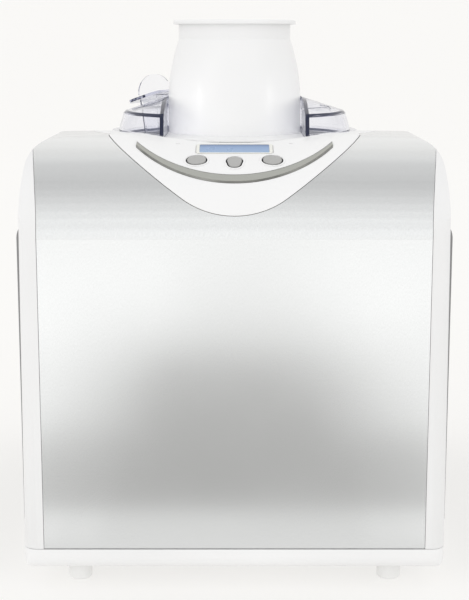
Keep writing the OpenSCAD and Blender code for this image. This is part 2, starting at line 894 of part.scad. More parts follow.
module tower_outline(t) {
    r = tower_r - t;
    arc_c = [tower_r - tower_arc_r, tower_arc_z];
    top_r = arc_c[0] + sqrt(pow(tower_arc_r - t, 2) - pow(neck_z - tower_arc_z, 2));
    // The foot and the neck stand back from the arc by a fine step
    step = 0.15;
    translate([0, tower_low_z]) square([r - step, tower_arc_z + 3 - tower_low_z]);
    intersection() {
        translate(arc_c) circle(r = tower_arc_r - t, $fn = 360);
        translate([0, tower_arc_z - 1]) square([r + 1, neck_z - tower_arc_z + 1]);
    }
    translate([0, neck_z - 3]) square([top_r - step, top_z - cap_t - neck_z + 3 + (t > 0 ? 1 : 0)]);
}

module motor_cap() {
    color(white_c) at_bowl() translate([0, 0, top_z - cap_t]) {
        rotate_extrude() {
            square([cap_r - 1, cap_t]);
            square([cap_r, cap_t - 1]);
            translate([cap_r - 1, cap_t - 1]) circle(r = 1, $fn = 32);
        }
        translate([0, 0, -4]) difference() {
            cylinder(r = neck_r - tower_wall - 0.15, h = 4.1);
            translate([0, 0, -1]) cylinder(r = neck_r - tower_wall - 2.2, h = 5.1);
        }
    }
}

module contact_plug() {
    color(dark_c) translate([0, plug_y, 0]) {
        translate([0, 0, deck_z - 6]) rounded_box(plug_w, plug_d, 6.3, 1);
        for (x = [-6, 0, 6]) block(x - 1.6, x + 1.6, -0.5, 0.5, deck_z - 11, deck_z - 5.9);
    }
}

module contact_socket() {
    color(dark_c) translate([0, plug_y, 0]) difference() {
        translate([0, 0, deck_z - deck_t - 10.5]) rounded_box(28, 8, 10.4, 1);
        translate([0, 0, deck_z - 6.4]) rounded_box(plug_w + 0.8, plug_d + 0.8, 8, 1);
        for (x = [-6, 0, 6]) block(x - 2, x + 2, -0.9, 0.9, deck_z - 11.8, deck_z);
    }
}

module shaft_bush() {
    color([0.80, 0.62, 0.30]) at_bowl() translate([0, 0, deck_z + 0.3]) difference() {
        union() {
            cylinder(r = bush_r - 0.05, h = base_floor_t);
            translate([0, 0, base_floor_t + 0.05]) cylinder(r = bush_r + 2, h = 4);
            translate([0, 0, base_floor_t - 1]) cylinder(r = bush_r - 1, h = 2);
        }
        translate([0, 0, -1]) cylinder(r = shaft_r + 0.05, h = 20);
    }
}

module gear_plate() {
    color(steel_c) at_bowl() difference() {
        union() {
            translate([0, 0, plate_z]) cylinder(r = tower_r - tower_wall - 0.6, h = plate_t);
            for (a = [60, 180, 300]) rotate([0, 0, a]) translate([39.5, 0, base_floor_z + 0.05])
                cylinder(r = 2.6, h = plate_z - base_floor_z, $fn = 32);
            // Idler axle
            translate([idler_x, 0, 299]) cylinder(r = 2, h = plate_z - 299 + 0.1, $fn = 32);
        }
        translate([pinion_x, 0, plate_z - 1]) cylinder(r = 5.6, h = 5);
    }
}

module drive_motor() {
    color([0.70, 0.71, 0.72]) at_bowl() translate([pinion_x, 0, plate_z + plate_t]) {
        cylinder(r = 19, h = 46);
        translate([0, 0, 46]) cylinder(r = 6, h = 4);
    }
}

// Gear outline with slim straight-flanked teeth and running backlash
module gear_outline(teeth) {
    r = gear_module * teeth / 2;
    tip = r + 0.8 * gear_module;
    root = r - 1.1 * gear_module;
    p = 360 / teeth;
    polygon([for (i = [0:teeth - 1], q = [[-0.31, root], [-0.11, tip], [0.11, tip], [0.31, root]])
        q[1] * [cos((i + q[0]) * p), sin((i + q[0]) * p)]]);
}

module gear(teeth, h, phase) rotate([0, 0, phase * 360 / teeth]) linear_extrude(h) gear_outline(teeth);

module output_gear() {
    color(white_c) at_bowl() translate([0, 0, low_gear_z]) difference() {
        gear(output_teeth, low_gear_h, 0);
        translate([0, 0, -1]) cylinder(r = shaft_r + 0.04, h = 10);
    }
}

module output_shaft() {
    color(steel_c) at_bowl() {
        translate([0, 0, shaft_hex_z])
            cylinder(r = shaft_r, h = low_gear_z + low_gear_h + 0.6 - shaft_hex_z);
        translate([0, 0, shaft_low_z]) cylinder(r = 4.6, h = shaft_hex_z - shaft_low_z + e, $fn = 6);
    }
}

module idler_gear() {
    color([0.90, 0.88, 0.80]) at_bowl() translate([idler_x, 0, 0]) difference() {
        union() {
            translate([0, 0, low_gear_z - 0.5]) gear(idler_small, high_gear_z - low_gear_z + 0.6, 0.5);
            translate([0, 0, high_gear_z]) gear(idler_large, high_gear_h, 0);
        }
        translate([0, 0, 295]) cylinder(r = 2.05, h = 30, $fn = 32);
    }
}

module drive_pinion() {
    color([0.80, 0.66, 0.36]) at_bowl() translate([pinion_x, 0, high_gear_z - 0.5]) {
        gear(pinion_teeth, high_gear_h + 1, 0.5);
        translate([0, 0, high_gear_h + 1 - e])
            cylinder(r = 1.5, h = plate_z + plate_t - high_gear_z - high_gear_h - 0.6);
    }
}

// ---------------------------------------------------------------- machinery

module compressor_plate() {
    color(steel_c) difference() {
        translate([compressor_at[0], compressor_at[1], floor_z + 9]) rounded_box(106, 106, 2, 10);
        for (sx = [-1, 1], sy = [-1, 1])
            translate([compressor_at[0] + sx * 46, compressor_at[1] + sy * 46, floor_z + 8])
                cylinder(r = 4, h = 5, $fn = 32);
    }
}

module compressor_grommets() {
    color(dark_c) for (sx = [-1, 1], sy = [-1, 1])
        translate([compressor_at[0] + sx * 46, compressor_at[1] + sy * 46, floor_z + 0.05]) {
            cylinder(r = 7, h = 8.9);
            cylinder(r = 3.8, h = 12);
        }
}

module compressor() {
    r = compressor_r;
    color(dark_c) translate([compressor_at[0], compressor_at[1], floor_z + compressor_lift]) {
        translate([0, 0, 22]) cylinder(r = r, h = 82);
        translate([0, 0, 16]) cylinder(r = r + 2, h = 8);
        rotate_extrude() {
            square([r - 22, 22.1]);
            intersection() {
                translate([r - 22, 22]) circle(r = 22);
                square([r, 22.1]);
            }
        }
        rotate_extrude() {
            translate([0, 104]) square([r - 24, 24]);
            intersection() {
                translate([r - 24, 104]) circle(r = 24);
                translate([0, 103.9]) square([r, 30]);
            }
        }
        // Terminal box
        block(-18, 18, -r - 9, -r + 8, 50, 90);
    }
}

module condenser_fins() {
    color(alu_c) for (y = [76:4:180]) difference() {
        block(tube_x - 11.5, tube_x + 11.5, y, y + 0.8, tube_low_z - 12, tube_high_z + 12);
        for (z = [tube_low_z:2 * tube_bend_r:tube_high_z]) translate([tube_x, y - 1, z]) rotate([-90, 0, 0])
            cylinder(r = 3.6, h = 4, $fn = 24);
    }
}

module condenser_tube() {
    color(copper_c) {
        for (z = [tube_low_z:2 * tube_bend_r:tube_high_z]) translate([tube_x, tube_front_y, z])
            rotate([-90, 0, 0]) cylinder(r = 3.5, h = tube_back_y - tube_front_y, $fn = 24);
        for (i = [0:4])
            translate([
                tube_x, i % 2 == 0 ? tube_back_y : tube_front_y, tube_low_z + tube_bend_r * (2 * i + 1)
            ]) rotate([i % 2 == 0 ? 0 : 180, 0, 0]) rotate([0, 90, 0])
                    rotate_extrude(angle = 180, $fn = 48) translate([tube_bend_r, 0])
                        circle(r = 3.5, $fn = 24);
    }
}

module fan_shroud() {
    color(dark_c) difference() {
        block(-104.5, strut_x + 2, 74, 180, floor_z + 0.1, 152);
        translate([-110, fan_at[1], fan_at[2]]) rotate([0, 90, 0]) cylinder(r = fan_r + 2, h = 40);
    }
    color(dark_c) for (a = [45, 135]) translate([strut_x, fan_at[1], fan_at[2]]) rotate([a, 0, 0])
        difference() {
            block(0, 1.6, -fan_r - 4, fan_r + 4, -2, 2);
            rotate([0, 90, 0]) cylinder(r = 12, h = 10, center = true);
        }
}

module fan_motor() {
    color([0.45, 0.45, 0.47]) translate([0, fan_at[1], fan_at[2]]) rotate([0, 90, 0]) {
        translate([0, 0, strut_x]) cylinder(r = 11.8, h = 22);
        translate([0, 0, strut_x - 7]) cylinder(r = 1.5, h = 8, $fn = 24);
    }
}

module fan_blades() {
    color([0.20, 0.20, 0.21]) translate(fan_at) rotate([0, 90, 0]) difference() {
        union() {
            translate([0, 0, -5]) cylinder(r = 11, h = 8);
            for (a = [0:72:288]) rotate([0, 0, a]) translate([9, 0, -1]) rotate([28, 0, 0])
                translate([0, -10, -0.8]) cube([fan_r - 12, 20, 1.6]);
        }
        translate([0, 0, -6]) cylinder(r = 1.55, h = 12, $fn = 24);
        difference() {
            cylinder(r = 80, h = 60, center = true);
            cylinder(r = fan_r, h = 70, center = true);
        }
    }
}

module filter_drier() {
    color(copper_c) {
        translate([-75, 90, 175]) rotate([0, 90, 0]) cylinder(r = 9, h = 60, $fn = 32);
        // Inlet from the condenser's low end, and the capillary to the well
        pipe([
            [tube_x, tube_front_y - 0.2, tube_low_z], [tube_x, 60, tube_low_z], [-92, 60, tube_low_z],
            [-92, 60, 175], [-92, 90, 175], [-74, 90, 175]
        ], 3, pipe_bend);
        pipe([[-16, 90, 175], [5, 90, 175], [5, 63.4, 175]], 1.5, pipe_bend);
    }
}

module suction_pipe() {
    top = floor_z + compressor_lift + compressor_h;
    color(copper_c) pipe([[90, 130, top], [90, 130, 190], [90, 30, 190], [81.8, 30, 190]], 4, pipe_bend);
}

module discharge_pipe() {
    top = floor_z + compressor_lift + compressor_h;
    color(copper_c) pipe([
        [40, 130, top], [40, 130, 186], [tube_x, 130, 186], [tube_x, 60, 186],
        [tube_x, 60, tube_high_z], [tube_x, tube_front_y - 0.2, tube_high_z]
    ], 3, pipe_bend);
}

module power_board() {
    z = base_z + post_h + 0.1;
    on = z + board_t - e;
    color(board_c) block(-50, 50, -160, -66, z, z + board_t);
    // Transformer, capacitors and relay
    color([0.9, 0.75, 0.2]) block(-38, -4, -146, -112, on, z + 32);
    color(dark_c) {
        for (x = [12, 28]) translate([x, -132, on]) cylinder(r = 6, h = 24, $fn = 32);
        block(8, 36, -100, -84, on, z + 18);
    }
}

module cord_gland() {
    color(dark_c) translate([gland_at[0], back_y, gland_at[1]]) rotate([90, 0, 0]) difference() {
        union() {
            cylinder(r = gland_r, h = gland_len);
            // Flange that holds it behind the panel
            translate([0, 0, wall + 0.1]) cylinder(r = gland_r + 3, h = 2.4);
        }
        translate([0, 0, -5]) cylinder(r = gland_bore_r, h = gland_len + 10);
    }
}

module base_screws() {
    color(steel_c) for (sx = [-1, 1], y = base_screw_y) translate([sx * base_screw_x, y, base_z + 0.5])
        cylinder(r = 3.4, h = 2.4);
}

module rear_screws() {
    color(steel_c) for (sx = [-1, 1], z = rear_screw_z) translate([sx * rear_screw_x, back_y - 0.6, z])
        rotate([90, 0, 0]) cylinder(r = 3, h = 3);
}

base_tray();
feet();
left_side_shell();
right_side_shell();
front_panel();
rear_panel();
top_deck();
left_grille();
right_grille();
chrome_trim();
lcd_bezel();
lcd_window();
lcd_module();
button_left();
button_middle();
button_right();
tact_switches();
control_board();
chilling_well();
well_seal();
evaporator_coil();
insulation();
bowl_support();
compressor();
compressor_plate();
compressor_grommets();
condenser_fins();
condenser_tube();
fan_shroud();
fan_motor();
fan_blades();
filter_drier();
suction_pipe();
discharge_pipe();
power_board();
cord_gland();
contact_socket();
base_screws();
rear_screws();
removable_bowl();
bowl_handle();
mixing_paddle();
lid();
refill_chute();
lid_gasket();
flap_pin();
refill_flap();
motor_base();
motor_housing();
motor_cap();
contact_plug();
shaft_bush();
gear_plate();
drive_motor();
drive_pinion();
idler_gear();
output_gear();
output_shaft();
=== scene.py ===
import json
import math

import bmesh
import bpy
from mathutils import Matrix, Vector


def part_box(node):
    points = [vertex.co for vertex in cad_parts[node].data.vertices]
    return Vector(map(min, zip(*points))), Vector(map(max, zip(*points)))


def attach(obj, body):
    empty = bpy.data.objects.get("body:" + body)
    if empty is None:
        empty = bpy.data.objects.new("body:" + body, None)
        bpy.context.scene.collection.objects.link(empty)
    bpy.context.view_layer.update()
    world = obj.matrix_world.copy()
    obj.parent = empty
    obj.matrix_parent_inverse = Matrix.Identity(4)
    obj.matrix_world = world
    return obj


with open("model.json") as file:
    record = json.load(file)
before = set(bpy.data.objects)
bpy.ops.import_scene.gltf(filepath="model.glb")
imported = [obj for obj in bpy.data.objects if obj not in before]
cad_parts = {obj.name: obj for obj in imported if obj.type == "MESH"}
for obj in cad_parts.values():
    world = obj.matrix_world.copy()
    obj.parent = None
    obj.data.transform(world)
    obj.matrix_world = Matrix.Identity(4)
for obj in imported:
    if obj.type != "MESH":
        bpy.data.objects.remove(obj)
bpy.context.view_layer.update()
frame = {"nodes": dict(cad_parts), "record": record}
MM = 0.001
scene = bpy.context.scene

# The camera stands in front of the machine, a little above it, and looks slightly down.
CAMERA_AT = (0.0, -1.075, 0.3615)
CAMERA_PITCH = 79.37
CAMERA_LENS = 83.1


def make_camera():
    data = bpy.data.cameras.new("camera")
    data.lens = CAMERA_LENS
    data.sensor_width = 36
    data.clip_start = 0.01
    data.clip_end = 50
    camera = bpy.data.objects.new("camera", data)
    camera.location = CAMERA_AT
    camera.rotation_euler = (math.radians(CAMERA_PITCH), 0, 0)
    scene.collection.objects.link(camera)
    scene.camera = camera


make_camera()
scene.view_settings.view_transform = "Standard"

# ------------------------------------------------------------------ materials


def grey(level):
    """Linear value of an 8-bit sRGB level."""
    v = level / 255
    return v / 12.92 if v <= 0.04045 else ((v + 0.055) / 1.055) ** 2.4


def rgb(r, g, b):
    return (grey(r), grey(g), grey(b))


class Nodes:
    """A material's node tree, with one Principled shader."""

    def __init__(self, name):
        self.material = bpy.data.materials.new(name)
        self.material.use_nodes = True
        self.tree = self.material.node_tree
        self.shader = next(n for n in self.tree.nodes if n.type == "BSDF_PRINCIPLED")
        self.coords = self.add("ShaderNodeTexCoord")

    def add(self, kind, **settings):
        node = self.tree.nodes.new(kind)
        for key, value in settings.items():
            setattr(node, key, value)
        return node

    def link(self, a, b):
        self.tree.links.new(a, b)

    def stretched(self, stretch):
        mapping = self.add("ShaderNodeMapping")
        mapping.inputs["Scale"].default_value = stretch
        self.link(self.coords.outputs["Object"], mapping.inputs["Vector"])
        return mapping.outputs["Vector"]

    def noise(self, scale, detail=3, stretch=(1, 1, 1), rough=0.5):
        node = self.add("ShaderNodeTexNoise")
        node.inputs["Scale"].default_value = scale
        node.inputs["Detail"].default_value = detail
        node.inputs["Roughness"].default_value = rough
        self.link(self.stretched(stretch), node.inputs["Vector"])
        return node.outputs["Fac"]

    def spread(self, value, low, high):
        """Maps the middle of a noise's range to low..high."""
        node = self.add("ShaderNodeMapRange")
        limits = {"From Min": 0.3, "From Max": 0.7, "To Min": low, "To Max": high}
        for key, number in limits.items():
            node.inputs[key].default_value = number
        self.link(value, node.inputs["Value"])
        return node.outputs["Result"]

    def blend(self, fac, a, b):
        node = self.add("ShaderNodeMix", data_type="RGBA")
        node.inputs["A"].default_value = (*a, 1)
        node.inputs["B"].default_value = (*b, 1)
        self.link(fac, node.inputs["Factor"])
        return node.outputs["Result"]

    def bump(self, height, strength, distance, after=None):
        node = self.add("ShaderNodeBump")
        node.inputs["Strength"].default_value = strength
        node.inputs["Distance"].default_value = distance
        self.link(height, node.inputs["Height"])
        if after is not None:
            self.link(after, node.inputs["Normal"])
        return node.outputs["Normal"]

    def set(self, **values):
        for key, value in values.items():
            self.shader.inputs[key.replace("_", " ")].default_value = value


def plastic(name, colour, rough, grain_mm=0.6, grain=0.08, vary=0.02, coat=0.0, specular=0.5):
    """Moulded plastic: a fine grain, slow waves, and slight variation of colour and gloss."""
    n = Nodes(name)
    slow = n.spread(n.noise(9, 2), 0, 1)
    low = tuple(c * (1 - vary) for c in colour)
    high = tuple(min(1, c * (1 + vary)) for c in colour)
    n.link(n.blend(slow, low, high), n.shader.inputs["Base Color"])
    n.link(n.spread(n.noise(60, 4), rough * 0.88, rough * 1.12), n.shader.inputs["Roughness"])
    waves = n.bump(n.noise(25, 1), 0.04, 0.002)
    fine = n.bump(n.noise(1000 / grain_mm, 2), grain, 0.00008, waves)
    n.link(fine, n.shader.inputs["Normal"])
    n.set(Coat_Weight=coat, Coat_Roughness=0.08, Specular_IOR_Level=specular)
    return n.material


def metal(name, colour, rough, stretch=(1, 1, 1), scale=900, grain=0.1, vary=0.06):
    """Metal with a grain drawn out along one axis."""
    n = Nodes(name)
    lines = n.noise(scale, 3, stretch, 0.6)
    cloud = n.noise(14, 3)
    low = tuple(c * (1 - vary) for c in colour)
    high = tuple(min(1, c * (1 + vary)) for c in colour)
    n.link(n.blend(n.spread(lines, 0, 1), low, high), n.shader.inputs["Base Color"])
    n.link(n.spread(cloud, rough * 0.92, rough * 1.08), n.shader.inputs["Roughness"])
    n.link(n.bump(lines, grain, 0.00006), n.shader.inputs["Normal"])
    n.set(Metallic=1.0)
    return n.material


def clear(name, colour, rough=0.02):
    """Clear moulded plastic with navy edges."""
    n = Nodes(name)
    n.link(n.blend(n.spread(n.noise(30, 2), 0, 1), tuple(c * 0.985 for c in colour), colour),
           n.shader.inputs["Base Color"])
    n.link(n.spread(n.noise(80, 3), rough * 0.6, rough * 1.6), n.shader.inputs["Roughness"])
    n.link(n.bump(n.noise(40, 1), 0.03, 0.001), n.shader.inputs["Normal"])
    # A faint painted glow of its own stands in for the light that scatters inside the plastic
    n.set(Transmission_Weight=1.0, IOR=1.25)
    n.set(Emission_Color=(0.28, 0.32, 0.55, 1), Emission_Strength=0.022)
    # Long paths inside the plastic, along its edges, turn navy
    depth = n.add("ShaderNodeVolumeAbsorption")
    depth.inputs["Color"].default_value = (0.4, 0.42, 0.6, 1)
    depth.inputs["Density"].default_value = 18
    output = next(node for node in n.tree.nodes if node.type == "OUTPUT_MATERIAL")
    n.link(depth.outputs["Volume"], output.inputs["Volume"])
    # Rays from lamps go straight through, or the walls would darken what stands behind them
    through = n.add("ShaderNodeBsdfTransparent")
    through.inputs["Color"].default_value = (0.95, 0.95, 0.96, 1)
    mix = n.add("ShaderNodeMixShader")
    n.link(n.add("ShaderNodeLightPath").outputs["Is Shadow Ray"], mix.inputs[0])
    n.link(n.shader.outputs[0], mix.inputs[1])
    n.link(through.outputs[0], mix.inputs[2])
    n.link(mix.outputs[0], output.inputs["Surface"])
    return n.material


def board_look(name):
    """Green solder resist with paler tracks."""
    n = Nodes(name)
    brick = n.add("ShaderNodeTexBrick")
    brick.inputs["Scale"].default_value = 160
    brick.inputs["Color1"].default_value = (0.02, 0.16, 0.08, 1)
    brick.inputs["Color2"].default_value = (0.03, 0.20, 0.10, 1)
    brick.inputs["Mortar"].default_value = (0.08, 0.34, 0.18, 1)
    n.link(n.coords.outputs["Object"], brick.inputs["Vector"])
    n.link(brick.outputs["Color"], n.shader.inputs["Base Color"])
    n.link(n.spread(n.noise(200, 2), 0.35, 0.5), n.shader.inputs["Roughness"])
    return n.material


def foam_look(name):
    """Yellowish foam with small round cells."""
    n = Nodes(name)
    cells = n.add("ShaderNodeTexVoronoi")
    cells.inputs["Scale"].default_value = 420
    n.link(n.coords.outputs["Object"], cells.inputs["Vector"])
    n.link(n.blend(cells.outputs["Distance"], (0.78, 0.68, 0.42), (0.86, 0.78, 0.55)),
           n.shader.inputs["Base Color"])
    n.link(n.bump(cells.outputs["Distance"], 0.5, 0.0006), n.shader.inputs["Normal"])
    n.set(Roughness=0.9)
    return n.material


def display_look(name):
    """Unlit pale blue display under a gloss coat, with painted shade darkening it towards its
    upper edge.
    """
    n = Nodes(name)
    low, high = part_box("lcd_window")
    split = n.add("ShaderNodeSeparateXYZ")
    n.link(n.coords.outputs["Object"], split.inputs["Vector"])
    depth = n.add("ShaderNodeMapRange")
    depth.inputs["From Min"].default_value = low.y
    depth.inputs["From Max"].default_value = high.y
    n.link(split.outputs["Y"], depth.inputs["Value"])
    # Painted shade: the ramp darkens the display's colour towards its upper edge
    shade_ramp = n.add("ShaderNodeValToRGB")
    shade_ramp.color_ramp.elements[0].color = (*rgb(146, 174, 208), 1)
    shade_ramp.color_ramp.elements[1].position = 0.96
    shade_ramp.color_ramp.elements[1].color = (*rgb(96, 120, 162), 1)
    middle = shade_ramp.color_ramp.elements.new(0.62)
    middle.color = (*rgb(132, 160, 200), 1)
    n.link(depth.outputs["Result"], shade_ramp.inputs["Fac"])
    n.link(shade_ramp.outputs["Color"], n.shader.inputs["Base Color"])
    n.link(n.spread(n.noise(120, 2), 0.26, 0.34), n.shader.inputs["Roughness"])
    n.set(Coat_Weight=0.4, Coat_Roughness=0.05)
    return n.material


LOOKS = {
    "white_plastic": plastic("white_plastic", rgb(241, 241, 241), 0.36, coat=0.05, specular=0.35),
    "steel_sheet": metal("steel_sheet", rgb(174, 175, 175), 0.2, (1, 1, 0.25), 2600, 0.1, 0.05),
    "foot_rubber": plastic("foot_rubber", rgb(240, 240, 239), 0.6, grain=0.15),
    "grey_plastic": plastic("grey_plastic", rgb(130, 130, 131), 0.7, grain=0.15, specular=0.2),
    "button_plastic": plastic("button_plastic", rgb(174, 174, 172), 0.38, grain=0.1),
    "satin_trim": metal("satin_trim", rgb(176, 177, 171), 0.3, (0.1, 1, 1), 1500, 0.06, 0.03),
    "bezel_plastic": plastic("bezel_plastic", rgb(236, 236, 230), 0.3),
    "display_glass": display_look("display_glass"),
    "dark_plastic": plastic("dark_plastic", rgb(48, 48, 50), 0.5, grain=0.2),
    "circuit_board": board_look("circuit_board"),
    "aluminium": metal("aluminium", rgb(214, 214, 216), 0.34, (1, 1, 0.1), 1200, 0.1),
    "silicone": plastic("silicone", rgb(205, 205, 210), 0.5),
    "copper": metal("copper", (0.72, 0.36, 0.20), 0.3, (1, 1, 1), 500, 0.05, 0.1),
    "foam": foam_look("foam"),
    "zinc_steel": metal("zinc_steel", rgb(196, 198, 202), 0.38, (1, 1, 1), 300, 0.08, 0.1),
    "bright_steel": metal("bright_steel", rgb(222, 222, 222), 0.2, (1, 1, 1), 900, 0.05),
    "black_steel": plastic("black_steel", rgb(36, 36, 37), 0.3, 1.2, 0.2, coat=0.4),
    "black_rubber": plastic("black_rubber", rgb(38, 38, 38), 0.7, grain=0.2),
    "clear_plastic": clear("clear_plastic", (0.97, 0.97, 0.975)),
    "gear_plastic": plastic("gear_plastic", rgb(232, 228, 212), 0.42),
    "brass": metal("brass", (0.72, 0.52, 0.22), 0.28, (1, 1, 1), 700, 0.06),
}

for part in frame["record"]["subparts"]:
    mesh = frame["nodes"][part["node"]].data
    mesh.materials.clear()
    mesh.materials.append(LOOKS[part["material_slot"]])

# The big side shells get a copy of the same white plastic, painted a shade darker than the tower
# and the base: painted shade
shell_plastic_painted_shade = plastic("shell_plastic_painted_shade", rgb(235, 235, 235), 0.4, coat=0.05, specular=0.3)
for node in ("left_side_shell", "right_side_shell"):
    frame["nodes"][node].data.materials[0] = shell_plastic_painted_shade

# Moulded edges are rounded a little. The CAD meshes keep their points; the modifiers do it.
SOFT_EDGES = {
    "left_side_shell": 0.5, "right_side_shell": 0.5, "base_tray": 0.5, "motor_cap": 0.5,
    "button_left": 0.45, "button_middle": 0.45, "button_right": 0.45, "lcd_bezel": 0.15,
    "left_grille": 0.3, "right_grille": 0.3,
}
for node, width in SOFT_EDGES.items():
    weld = frame["nodes"][node].modifiers.new("weld", "WELD")
    weld.merge_threshold = 1e-6
    bevel = frame["nodes"][node].modifiers.new("bevel", "BEVEL")
    bevel.width = width * MM
    bevel.segments = 2
    bevel.limit_method = "ANGLE"
    bevel.angle_limit = math.radians(45)

# ------------------------------------------------------------------ details

# All in mm. The bib's two arcs, each as centre y, centre z and radius, meet at JOIN_Z.
CREST = (-95.0, 148.3965, 150.6035)
FRONT = (-156.3406, 236.0, 43.6594)
JOIN_Z = 271.76
BOWL_Y = -45.0


def solid(name, rings, body, look, closed=False):
    """A piece swept through rings of points in mm; an open sweep gets end caps."""
    count = len(rings[0])
    verts = [tuple(Vector(p) * MM) for ring in rings for p in ring]
    faces = []
    for i in range(len(rings) if closed else len(rings) - 1):
        j = (i + 1) % len(rings)
        for k in range(count):
            m = (k + 1) % count
            faces.append((i * count + k, i * count + m, j * count + m, j * count + k))
    if not closed:
        faces.append(tuple(range(count)))
        faces.append(tuple(range((len(rings) - 1) * count, len(rings) * count)))
    mesh = bpy.data.meshes.new(name)
    mesh.from_pydata(verts, [], faces)
    tidy = bmesh.new()
    tidy.from_mesh(mesh)
    bmesh.ops.recalc_face_normals(tidy, faces=tidy.faces)
    for face in tidy.faces:
        face.smooth = True
    for edge in tidy.edges:
        edge.smooth = edge.calc_face_angle(0) < math.radians(40)
    tidy.to_mesh(mesh)
    tidy.free()
    mesh.materials.append(look)
    piece = bpy.data.objects.new(name, mesh)
    scene.collection.objects.link(piece)
    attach(piece, body)
    return piece


def on_bib_arc(x, z, out):
    """Point of the bib's surface at x and z, raised by out."""
    cy, cz, r = CREST if z > JOIN_Z else FRONT
    return (x, cy - math.sqrt((r + out) ** 2 - (z - cz) ** 2), z)


def trim_bevel():
    """Polished bevel along the trim's lower edge, over the trim's step."""
    low_z, low_r, half_w = 270.7, 117.5, 65.9
    # Inset from the trim's lower edge, and height over the bib
    section = ((1.28, 0.12), (1.28, 0.66), (0.05, 0.16), (0.05, 0.12))
    last = math.asin(half_w / low_r)
    rings = []
    for i in range(97):
        a = last * (i / 48 - 1)
        rings.append([on_bib_arc((low_r - inset) * math.sin(a),
                                 low_z + low_r - (low_r - inset) * math.cos(a), out)
                      for inset, out in section])
    # Its dark base colour is painted shade, standing in for the dark surroundings that the
    # polished bevel reflects
    look = metal("polished_bevel", rgb(140, 140, 136), 0.07, (1, 1, 1), 45, 0.02, 0.4)
    solid("trim_bevel", rings, "cabinet", look)


def bib_frame(x, y, turn):
    """Frame on the bib's crest arc at x and y, with its z axis along the surface's normal."""
    tilt = math.asin((CREST[0] - y) / CREST[2])
    z = CREST[1] + CREST[2] * math.cos(tilt)
    return (Matrix.Translation((0, y, z)) @ Matrix.Rotation(tilt, 4, "X")
            @ Matrix.Translation((x, 0, 0)) @ Matrix.Rotation(math.radians(turn), 4, "Z"))


def round_outline(circles, section, place, steps=72):
    """Rings of a closed sweep round the outline that spans the circles.

    The circles are (x, y, radius), and the section's points (gap outside the outline, height).
    """
    rings = []
    for i in range(steps):
        a = 2 * math.pi * i / steps
        out = Vector((math.cos(a), math.sin(a)))
        x, y, r = max(circles, key=lambda c: c[0] * out.x + c[1] * out.y + c[2])
        rings.append([place @ Vector((x + (r + gap) * out.x, y + (r + gap) * out.y, height))
                      for gap, height in section])
    return rings


SIDE_BUTTON = ((0.9, 0, 5.3), (-0.9, 0, 5.3))
MIDDLE_BUTTON = ((0, 1.4, 4.8), (0, -2.3, 3.9))
BUTTONS = {
    "left": (SIDE_BUTTON, bib_frame(-25, -161.3, 14)),
    "middle": (MIDDLE_BUTTON, bib_frame(0, -163.6, 0)),
    "right": (SIDE_BUTTON, bib_frame(25, -161.3, -14)),
}


def button_rings():
    """Each button has a raised rim, and down in its gap a dark ring that is painted shade for the
    gap.
    """
    rim = ((0.96, -0.4), (0.96, 0.16), (1.15, 0.4), (1.9, 0.55), (2.2, 0.4), (2.25, -0.4))
    gap_shade = ((0.16, -0.8), (0.16, -0.15), (0.88, -0.15), (0.88, -0.8))
    # The near-black ring is painted shade: a dark thing put where the gap only has shadow
    rubber = plastic("gap_shade_rubber", rgb(24, 24, 26), 0.7, grain=0.2, specular=0.2)
    for name, (circles, place) in BUTTONS.items():
        rings = round_outline(circles, rim, place)
        solid(f"{name}_button_rim", rings, "cabinet", LOOKS["white_plastic"],
              closed=True)
        rings = round_outline(circles, gap_shade, place)
        solid(f"{name}_button_gap_shade", rings, "cabinet", rubber, closed=True)


# The lid's sloping top: height in mm at its outer radius, and the slope inwards
LID_TOP_Z, LID_TOP_R, LID_SLOPE = 311.0, 80, 0.32
RIDGE_ROOT = 0.15


def on_cone(angle, r):
    """Point on the lid's sloping top, and the normal there."""
    a = math.radians(angle)
    out = Vector((math.cos(a), math.sin(a), 0))
    point = Vector((0, BOWL_Y, LID_TOP_Z + (LID_TOP_R - r) * LID_SLOPE)) + out * r
    return point, (out * LID_SLOPE + Vector((0, 0, 1))).normalized()


def ridge(name, path, width, height, body, look):
    """A raised line along a path of (angle, radius) on the lid."""
    spots = [on_cone(*spot) for spot in path]
    rings = []
    for i, (point, normal) in enumerate(spots):
        ahead = spots[min(i + 1, len(spots) - 1)][0] - spots[max(i - 1, 0)][0]
        side = normal.cross(ahead).normalized() * width / 2
        foot, top = point - normal * RIDGE_ROOT, point + normal * height
        rings.append([foot + side, top + side * 0.6, top - side * 0.6, foot - side])
    solid(name, rings, body, look)


def lid_arrow():
    """A plain turning arrow, moulded on the right of the lid."""
    arc = [(-48 + 34 * i / 20, 70) for i in range(21)]
    for name, path in (
        ("arrow_arc", arc), ("arrow_barb_inner", [(-21, 66.2), (-17.5, 68.2), (-14, 70)]),
        ("arrow_barb_outer", [(-21, 73.8), (-17.5, 71.8), (-14, 70)]),
    ):
        ridge(f"lid_{name}", path, 1.1, 0.4, "lid_unit", LOOKS["clear_plastic"])


trim_bevel()
button_rings()
lid_arrow()

# ------------------------------------------------------------------ studio

PALE = rgb(250, 249, 247)


